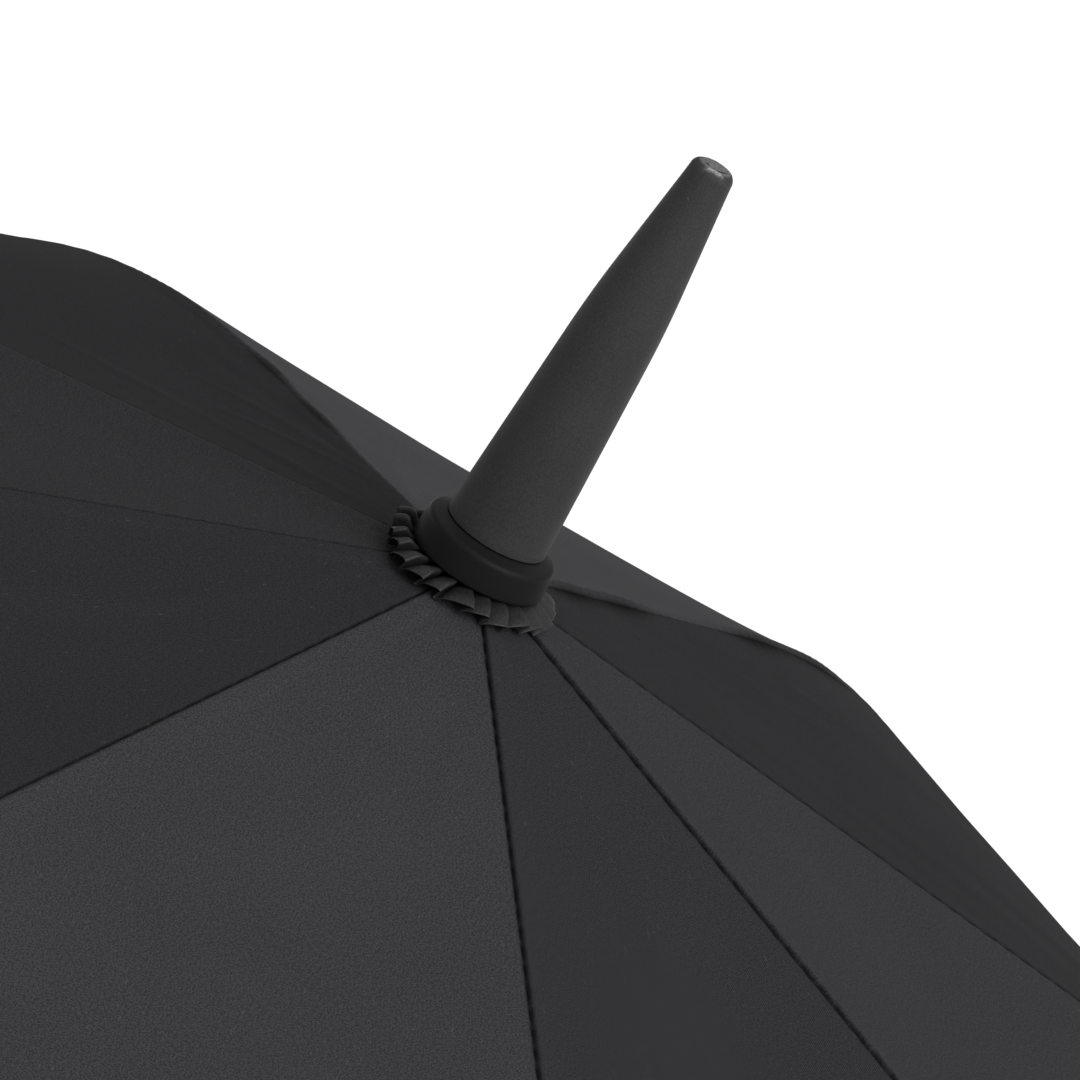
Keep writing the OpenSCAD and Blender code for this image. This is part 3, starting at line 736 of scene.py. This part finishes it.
def cloth_shell(name, side_of_col, top, normal_of, weave_of, shade, material_of, materials):
    """A thin closed sheet from a grid of points, top[row][col]. side_of_col gives the side of the
    seam for the faces after each column; the first row may be a single point. normal_of and
    weave_of hold a grid for each side, and material_of the number of its material."""
    n_rows, n_cols = top.shape[:2]
    mean = (normal_of[-1] + normal_of[1]) / 2
    mean = mean / np.linalg.norm(mean, axis=-1, keepdims=True)
    bottom = top - CLOTH_T * mean
    pinched = np.allclose(top[0, 0], top[0, -1], atol=1e-9)
    upper = np.arange(n_rows * n_cols).reshape(n_rows, n_cols)
    if pinched:
        upper[0, :] = 0
    faces, uv, normals, indices = [], [], [], []
    n = n_rows * n_cols

    def corner(i, j, side, low):
        point = upper[i, j] + (n if low else 0)
        return point, weave_of[side][i, j], (-1 if low else 1) * normal_of[side][i, j]

    for j in range(n_cols - 1):
        side = side_of_col[j]
        for i in range(n_rows - 1):
            ring = [(i, j), (i + 1, j), (i + 1, j + 1), (i, j + 1)]
            if pinched and i == 0:
                ring = [(0, 0), (1, j), (1, j + 1)]
            for low in (False, True):
                order = ring[::-1] if low else ring
                made = [corner(a, b, side, low) for a, b in order]
                faces.append([m[0] for m in made])
                uv.extend(m[1] for m in made)
                normals.extend(m[2] for m in made)
                indices.append(material_of[side])

    def wall(path):
        """Joins the upper and lower faces along an edge, given as (row, col) places."""
        for (a, b), (c, d) in zip(path, path[1:]):
            p, q = upper[a, b], upper[c, d]
            if p == q:
                continue
            faces.append([q, p, p + n, q + n])
            side = side_of_col[min(b, d, n_cols - 2)]
            places = weave_of[side]
            uv.extend([places[c, d], places[a, b], places[a, b], places[c, d]])
            normals.extend([(0, 0, 0)] * 4)
            indices.append(material_of[side])

    wall([(i, 0) for i in range(n_rows)])
    wall([(n_rows - 1, j) for j in range(n_cols)])
    wall([(i, n_cols - 1) for i in range(n_rows - 1, -1, -1)])
    wall([(0, j) for j in range(n_cols - 1, -1, -1)])
    points = np.concatenate([top.reshape(-1, 3), bottom.reshape(-1, 3)])
    # the upper face carries the painted shade and stitch lines, the lower face none
    values = np.concatenate([shade.ravel(), np.zeros(n)])
    used = np.unique(np.concatenate([np.array(f) for f in faces]))
    renumber = np.full(2 * n, -1)
    renumber[used] = np.arange(len(used))
    return add_mesh(
        name, points[used], [[int(renumber[k]) for k in f] for f in faces], materials,
        uv=uv, normals=normals, indices=indices, floats={"seam": values[used]},
    )


def add_strip(rib, edges):
    """The cloth along a rib, with the seam down its middle."""
    angle = SECTOR * (rib - 1)
    row = ROW_SHARES[:, None] + np.zeros((1, len(STRIP_SHARES)))
    # for each side: points, normals, places in the weave, and painted shade
    halves = {}
    for side in (1, -1):
        f = edges[side][:, None] * np.array(STRIP_SHARES)[None, :]
        points = cloth_point(rib, side, row, f)
        halves[side] = (
            points, cloth_normal(rib, side, row, f), weave_place(rib, side, points),
            seam_shade(rib, side, row, f),
        )
    half = len(STRIP_SHARES) - 1

    def joined(k):
        """One of the four for the whole strip, with the middle column from the side after."""
        return np.concatenate([halves[-1][k][:, :0:-1], halves[1][k]], axis=1)

    def patched(k):
        """The same with the middle column from the side before."""
        made = joined(k).copy()
        made[:, half] = halves[-1][k][:, 0]
        return made

    after, before = panel_of(rib, 1), panel_of(rib, -1)
    obj = cloth_shell(
        f"canopy_strip_{rib}", [-1] * half + [1] * half, rotated(joined(0), angle),
        by_side(rotated(joined(1), angle), rotated(patched(1), angle)),
        by_side(joined(2), patched(2)), joined(3),
        by_side(0, 1), [CLOTH[after], CLOTH[before]],
    )
    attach(obj, f"rib_{rib}")
    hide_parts(f"canopy_{rib}")


def add_flap(rib, side, edge):
    """The cloth from a strip, whose edge is given, to the middle of the panel beside it."""
    angle = SECTOR * (rib - 1)
    # the first rows lie wholly in the strip, and the flap starts as a point
    first = int(np.argmax(edge < 0.5 - 1e-9)) - 1
    edge = edge[first:].copy()
    edge[0] = 0.5
    share = np.linspace(0, 1, FLAP_COLS)[None, :]
    f = edge[:, None] * (1 - share) + 0.5 * share
    row = ROW_SHARES[first:, None] + np.zeros_like(f)
    points = cloth_point(rib, side, row, f)
    normal = cloth_normal(rib, side, row, f)
    weave = weave_place(rib, side, points)
    shade = seam_shade(rib, side, row, f)
    if side < 0:
        points, normal, weave, shade = (x[:, ::-1] for x in (points, normal, weave, shade))
    panel = panel_of(rib, side)
    obj = cloth_shell(
        f"canopy_flap_{rib}{'a' if side > 0 else 'b'}", [1] * (FLAP_COLS - 1),
        rotated(points, angle), by_side(rotated(normal, angle)), by_side(weave), shade,
        by_side(0), [CLOTH[panel]],
    )
    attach(obj, f"rib_{rib}")
    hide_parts(f"canopy_{rib}")
    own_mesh(obj)


for rib in range(1, RIBS + 1):
    edges = {side: strip_edge(rib, side, ROW_SHARES) for side in (1, -1)}
    add_strip(rib, edges)
    for side in (1, -1):
        add_flap(rib, side, edges[side])

# ---------------------------------------------------------------- ferrule, collar and rosette

FERRULE_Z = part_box("ferrule")[0].z
COLLAR_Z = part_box("ferrule_collar")[0].z
BORE = 7.05                      # mm, radius of the bore that the shaft fills


def bezier(a, b, c, steps):
    """Points of a curve that starts at a towards b, and ends at c."""
    return [
        tuple((1 - t) ** 2 * p + 2 * t * (1 - t) * q + t * t * r for p, q, r in zip(a, b, c))
        for t in np.linspace(0, 1, steps)
    ]


def between(a, b, shares):
    return [tuple(p + (q - p) * t for p, q in zip(a, b)) for t in shares]


# The profiles of both are places as (radius, height) in mm, from their own lower faces


def add_ferrule():
    base, waist, tip = (12.5, 0), (9.6, 60), (5.3, 97.4)
    blend = 10
    before = tuple(w + (b - w) * blend / 60 for w, b in zip(waist, base))
    after = tuple(w + (t - w) * blend / 40 for w, t in zip(waist, tip))
    foot = [(BORE, 0), (12.38, 0), (12.47, 0.04), (12.5, 0.14), (12.4, 2.2)]
    lower = between(base, before, np.linspace(0.1, 0.95, 10))
    upper = between(after, tip, np.linspace(0.08, 1, 12))
    crown = [
        (tip[0] - 2.3 * (1 - cos(a)), tip[1] + 2.5 * sin(a)) for a in np.radians(range(6, 80, 6))
    ]
    # a shallow ring bounds the slightly domed end face
    face = [(2.98, 99.86), (2.88, 99.81), (2.76, 99.82), (2.66, 99.88), (1.6, 99.97), (0, 100)]
    inside = [(0, 60), (BORE, 60)]
    profile = foot + lower + bezier(before, waist, after, 16) + upper + crown + face + inside
    profile = [(r * MM, FERRULE_Z + z * MM) for r, z in profile]

    def worn(a, r, z):
        """Slight unevenness of the tip, as from knocks."""
        share = smooth(FERRULE_TOP - 5 * MM, FERRULE_TOP - 2 * MM, z) * smooth(1 * MM, 3 * MM, r)
        bumps = sin(5 * a + 1) + 0.7 * sin(11 * a) + 0.5 * sin(17 * a + 2)
        return float(share) * 0.06 * MM * bumps

    obj = lathe("ferrule_body", profile, 128, FINISH["ferrule"], worn)
    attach(obj, "shaft")
    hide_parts("ferrule")


def add_collar():
    wall = [
        (BORE, 0), (16.0, 0), (16.3, 0.1), (16.45, 0.3), (16.5, 0.6), (16.45, 2.2), (16.35, 4.6),
    ]
    shoulder = bezier((16.25, 6.3), (16.15, 7.6), (15.0, 7.95), 12)
    top = [(14.2, 8.28), (13.5, 8.58), (12.9, 8.84), (12.7, 8.9), (12.5, 8.92), (BORE, 8.92)]
    profile = [(r * MM, COLLAR_Z + z * MM) for r, z in wall + shoulder + top]
    obj = lathe("collar_body", profile, 160, FINISH["collar"])
    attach(obj, "shaft")
    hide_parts("ferrule_collar")


PLEATS = 23
ROSETTE_ROWS = 12
ROSETTE_IN = 10 * MM
ROSETTE_OUT = 21.6 * MM
ROSETTE_WIDTH = 0.012
ROSETTE_T = 0.28 * MM
RISE_AZIMUTH = radians(145)      # the pleats stand up most on this side, beside the collar
RISE = 3 * MM
PLEAT_LENGTH = 15 * MM           # cloth in one pleat, along the outer edge
# Section through one knife pleat, as shares of a pleat forwards and of its height: from the loop
# at the bottom up over the rounded fold that lies on the next pleat, and back under it
PLEAT = (
    (0.00, 0.00), (0.06, 0.12), (0.20, 0.38), (0.42, 0.60), (0.70, 0.78), (0.95, 0.92),
    (1.13, 1.00), (1.24, 0.97), (1.26, 0.88), (1.19, 0.70), (1.10, 0.50), (1.03, 0.32),
    (0.98, 0.17), (0.95, 0.05),
)


def rosette_room(r, a):
    """Lowest and highest place of the pleats at a radius and an azimuth. They lie between the
    canopy and the collar, and beyond the collar's wall they stand up beside it."""
    low = APEX_Z - r * tan(PITCH) + 0.45 * MM
    high = COLLAR_Z - 0.3 * MM - 0.5 * MM * float(smooth(16.4 * MM, 20 * MM, r))
    high -= 1.5 * MM * float(smooth(19.4 * MM, 22.6 * MM, r))
    facing = (1 + cos(a - RISE_AZIMUTH)) / 2
    high += RISE * facing ** 2 * float(smooth(16.7 * MM, 19 * MM, r))
    return low, high


def add_rosette():
    """A strip of cloth in knife pleats, held between the canopy and the collar."""
    rows = ROSETTE_ROWS
    per = len(PLEAT)
    count = PLEATS * per
    # no two pleats are quite alike at the outer edge
    draws = np.random.default_rng(11)
    lean, turn = draws.uniform(0.86, 1.12, PLEATS), draws.uniform(-0.2, 0.2, PLEATS)
    tall, reach = draws.uniform(0.72, 1.04, PLEATS), draws.uniform(-0.7, 0.4, PLEATS) * MM
    points = np.zeros((rows, count, 3))
    weave = np.zeros((rows, count, 2))
    for k in range(PLEATS):
        for m, (forward, height) in enumerate(PLEAT):
            c = k * per + m
            for i in range(rows):
                s = i / (rows - 1)
                edge = float(smooth(0.55, 1, s))
                flare = reach[k] + 0.9 * MM * (height - 0.5)
                r = ROSETTE_IN + (ROSETTE_OUT - ROSETTE_IN) * s + edge * flare
                step = forward * (1 + (lean[k] - 1) * edge) if forward > 0.3 else forward
                a = 2 * pi / PLEATS * (k + step + turn[k] * edge * height)
                low, high = rosette_room(r, a)
                z = low + height * (high - low) * (1 + (tall[k] - 1) * edge)
                points[i, c] = (r * cos(a), r * sin(a), z)
                weave[i, c] = (PLEAT_LENGTH * c / per, s * ROSETTE_WIDTH)
    faces, uv = [], []
    for i in range(rows - 1):
        for c in range(count):
            d = (c + 1) % count
            this, after = i * count, (i + 1) * count
            faces.append([this + c, after + c, after + d, this + d])
            ahead = weave[i, c, 0] + PLEAT_LENGTH / per
            inner, outer = weave[i, c], weave[i + 1, c]
            uv.extend([inner, outer, (ahead, outer[1]), (ahead, inner[1])])
    obj = add_mesh("rosette_cloth", points.reshape(-1, 3), faces, [ROSETTE], uv=uv,
                   floats={"seam": np.zeros(rows * count)})
    thick = obj.modifiers.new("thickness", "SOLIDIFY")
    thick.thickness = ROSETTE_T
    thick.offset = 0
    fine = obj.modifiers.new("smooth", "SUBSURF")
    fine.levels = fine.render_levels = 1
    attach(obj, "shaft")
    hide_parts("rosette")


add_ferrule()
add_collar()
add_rosette()

# ---------------------------------------------------------------- runner, grip and strap

RUNNER_Z = 701.998 * MM          # height of the stretchers' inner hinges
GRIP_GROOVES = (0.07, 0.11, 0.15, 0.85, 0.89, 0.93)
GRIP_EDGE = 2 * MM               # radius of the grip's rounded ends
GRIP_BORE = 9.05 * MM


def add_runner_wire():
    """The ring wire that the stretchers turn on, in the runner's crown."""
    turns = np.linspace(0, 2 * pi, 64, endpoint=False)
    path = [(HINGE_R * cos(a), HINGE_R * sin(a), RUNNER_Z) for a in turns]
    obj = closed_wire("runner_wire", path, 0.8 * MM, 12, FINISH["spring_steel"])
    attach(obj, "runner")


def add_grip():
    """Foam grip with shallow grooves near both ends and a slight waist."""
    low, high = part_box("handle_grip")
    length = high.z - low.z
    profile = [(GRIP_BORE, low.z)]
    for t in np.linspace(0, 1, 150):
        r = high.x - 0.7 * MM * sin(pi * t) ** 2
        r -= sum(0.9 * MM * math.exp(-((t - g) * length / MM) ** 2) for g in GRIP_GROOVES)
        end = min(t, 1 - t) * length
        if end < GRIP_EDGE:
            r -= GRIP_EDGE - math.sqrt(max(0.0, GRIP_EDGE ** 2 - (GRIP_EDGE - end) ** 2))
        profile.append((r, low.z + length * t))
    profile.append((GRIP_BORE, high.z))
    obj = lathe("grip_foam_body", profile, 96, FINISH["grip_foam"])
    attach(obj, "shaft")
    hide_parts("handle_grip")


def add_strap():
    """Ribbon that lies on the canopy beside a seam, with its sewn end inwards."""
    rib = 7
    angle = SECTOR * (rib - 1)
    rows, cols = 60, 9
    r = np.linspace(385, 500, rows)[:, None] * MM + np.zeros((1, cols))
    t = np.linspace(2.5, 17.5, cols)[None, :] * MM + np.zeros((rows, 1))
    f = t / (r * sin(SECTOR))
    top = cloth_at(rib, 1, r, f)
    along = np.linspace(0, 1, rows)[:, None]
    edge = np.abs(np.linspace(-1, 1, cols))[None, :]
    sewn = 1 - smooth(0.0, 0.12, along)
    patch = smooth(0.80, 0.82, along) * (1 - smooth(0.97, 0.99, along))
    lift = 0.75 * MM + 0.18 * MM * patch + 0.15 * MM * np.sin(7 * along + 2 * edge) * (1 - sewn)
    lift = lift - 0.12 * MM * smooth(0.8, 1.0, edge)
    top[..., 2] += lift
    stitch = bell(along, 0.03, 0.012) + bell(along, 0.11, 0.012)
    stitch = stitch + 0.6 * bell(edge, 0.82, 0.05) * sewn
    out = cloth_normal(rib, 1, (r - COVER_START) / (COVER_END - COVER_START), f)
    obj = cloth_shell(
        "tie_strap_ribbon", [1] * (cols - 1), rotated(top, angle), by_side(rotated(out, angle)),
        by_side(np.stack([t, r], -1)), np.clip(stitch, 0, 1), by_side(0), [STRAP],
    )
    # shaded by its own waves, not as the cloth under it
    obj.data.normals_split_custom_set([(0, 0, 0)] * len(obj.data.loops))
    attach(obj, f"rib_{rib}")
    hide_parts("tie_strap")


def rib_axis(s):
    """Place of a rib's axis at a length from the hub, and its slope there."""
    if s <= RIB_STRAIGHT:
        return HINGE_R + s * cos(PITCH), RIB_Z0 - s * sin(PITCH), PITCH
    slope = PITCH + min(s - RIB_STRAIGHT, RIB_ARC) / ARC_R
    outer = max(0.0, s - RIB_STRAIGHT - RIB_ARC)
    x = ARC_CENTRE[0] + ARC_R * sin(slope) + outer * cos(END_SLOPE)
    return x, ARC_CENTRE[1] + ARC_R * cos(slope) - outer * sin(END_SLOPE), slope


SLEEVES = (RIB_STRAIGHT, RIB_STRAIGHT + RIB_ARC)
TIES = (0.09, SLEEVES[0], 0.26, SLEEVES[1], 0.60)   # lengths along the rib
TIE_STEPS = 20
THREAD_SIDES = 6
THREAD_R = 0.22 * MM


def tie_turn(s, shift):
    """Points of one turn of thread round the rib at the length s, moved along it by shift."""
    x, z, slope = rib_axis(s)
    along = np.array([cos(slope), 0, -sin(slope)])
    up = np.array([sin(slope), 0, cos(slope)])
    reach = (2.8 if s in SLEEVES else 2.35) * MM
    points = []
    for k in range(TIE_STEPS):
        a = 2 * pi * k / TIE_STEPS
        out = cos(a) * up + sin(a) * np.array([0, 1, 0])
        middle = np.array([x, 0, z]) + shift * along + reach * out
        middle = middle + max(0, cos(a)) * 0.5 * MM * up
        for q in range(THREAD_SIDES):
            b = 2 * pi * q / THREAD_SIDES
            points.append(middle + THREAD_R * (cos(b) * out + sin(b) * along))
    return points


def add_rib_ties():
    """Turns of thread that hold the seam to its rib."""
    for rib in range(1, RIBS + 1):
        points, faces = [], []
        for s in TIES:
            for turn in (-0.5, 0, 0.5):
                faces += tube_faces(TIE_STEPS, THREAD_SIDES, len(points))
                points += tie_turn(s, turn * MM)
        placed = rotated(np.array(points), SECTOR * (rib - 1))
        obj = add_mesh(f"rib_ties_{rib}", placed, faces, [THREAD])
        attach(obj, f"rib_{rib}")


add_runner_wire()
add_grip()
add_strap()
add_rib_ties()

# ---------------------------------------------------------------- floor

FLOOR_HALF = 30
FLOOR_Z = -0.0003                # just clear of the handle's end
corners = [(-1, -1), (1, -1), (1, 1), (-1, 1)]
floor = add_mesh(
    "floor", [(x * FLOOR_HALF, y * FLOOR_HALF, FLOOR_Z) for x, y in corners], [(0, 1, 2, 3)],
    [Finish("floor", Base_Color=grey(0.88), Roughness=0.9).material],
)
